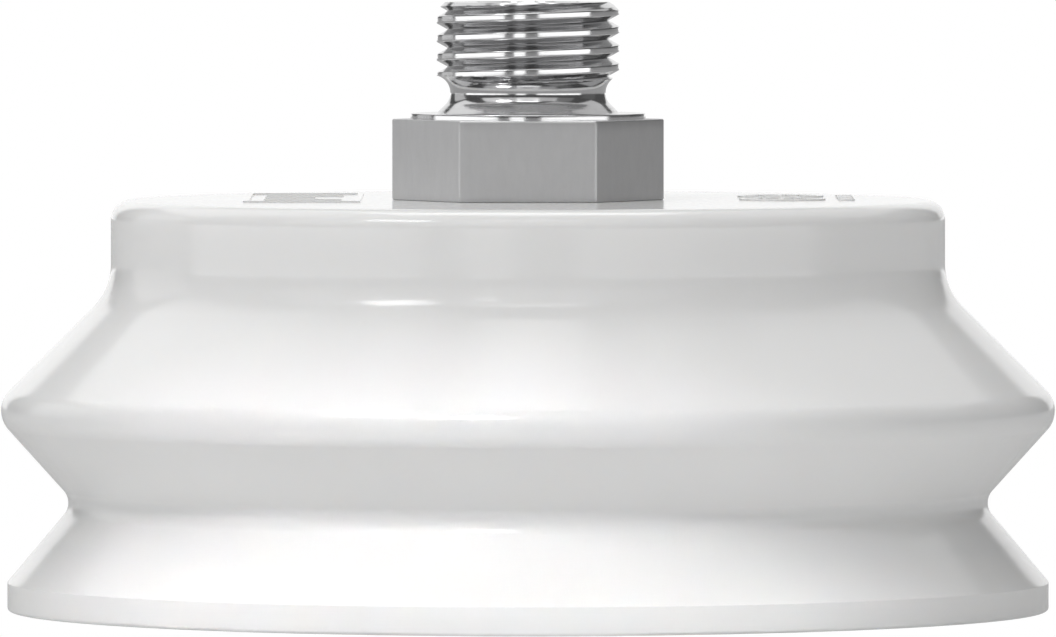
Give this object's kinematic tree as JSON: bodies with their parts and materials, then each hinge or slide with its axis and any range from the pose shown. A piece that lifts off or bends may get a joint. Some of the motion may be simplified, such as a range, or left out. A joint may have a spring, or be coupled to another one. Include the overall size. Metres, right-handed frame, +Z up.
{
  "type": "vacuum suction cup",
  "caption": "Round vacuum suction cup: a white silicone bellows with a wide crown, a folding convolution and a flared lip, on a metal hexagon nipple with a male pipe thread and a through-bore.",
  "frame": {"origin": "centre of the lip's contact plane", "axes": "+Z up the cup's axis, from the lip towards the thread; +X through two corners of the hexagon; -Y is the front"},
  "size_m": [0.0758, 0.0758, 0.0438],
  "materials": {
    "silicone": "satin white silicone",
    "plated_metal": "bright turned thread, satin hexagon",
    "plate_aluminium": "turned aluminium",
    "fastener_steel": "zinc-plated steel"
  },
  "bodies": {
    "head": {"connector": "plated_metal", "support_plate": "plate_aluminium", "flat_washer": "fastener_steel", "spring_washer": "fastener_steel", "clamp_nut": "fastener_steel", "crown": "silicone", "upper_wall": "silicone"},
    "crest": {"crest_ring": "silicone", "lower_wall": "silicone"},
    "neck": {"neck_ring": "silicone", "skirt_upper_wall": "silicone"},
    "skirt": {"skirt_ring": "silicone", "skirt_lower_wall": "silicone"},
    "rim": {"lip": "silicone"}
  },
  "joints": [
    {"name": "upper_fold", "type": "slide", "parent": "head", "child": "crest", "axis": [0, 0, 1], "range_m": [0, 0.0054], "stiffness_N_per_m": 1500, "deforming": ["upper_wall"]},
    {"name": "lower_fold", "type": "slide", "parent": "crest", "child": "neck", "axis": [0, 0, 1], "range_m": [0, 0.0036], "stiffness_N_per_m": 2250, "deforming": ["lower_wall"]},
    {"name": "tilt_about_x", "type": "hinge", "parent": "neck", "child": "skirt", "pos_m": [0, 0, 0.00485], "axis": [1, 0, 0], "range_deg": [-2.5, 2.5], "stiffness_Nm_per_rad": 0.15, "deforming": ["skirt_upper_wall"]},
    {"name": "tilt_about_y", "type": "hinge", "parent": "skirt", "child": "rim", "pos_m": [0, 0, 0.00485], "axis": [0, 1, 0], "range_deg": [-2.5, 2.5], "stiffness_Nm_per_rad": 0.15, "deforming": ["skirt_lower_wall"]}
  ],
  "couplings": [
    {"joint": "lower_fold", "follows": "upper_fold", "ratio": 0.667}
  ]
}
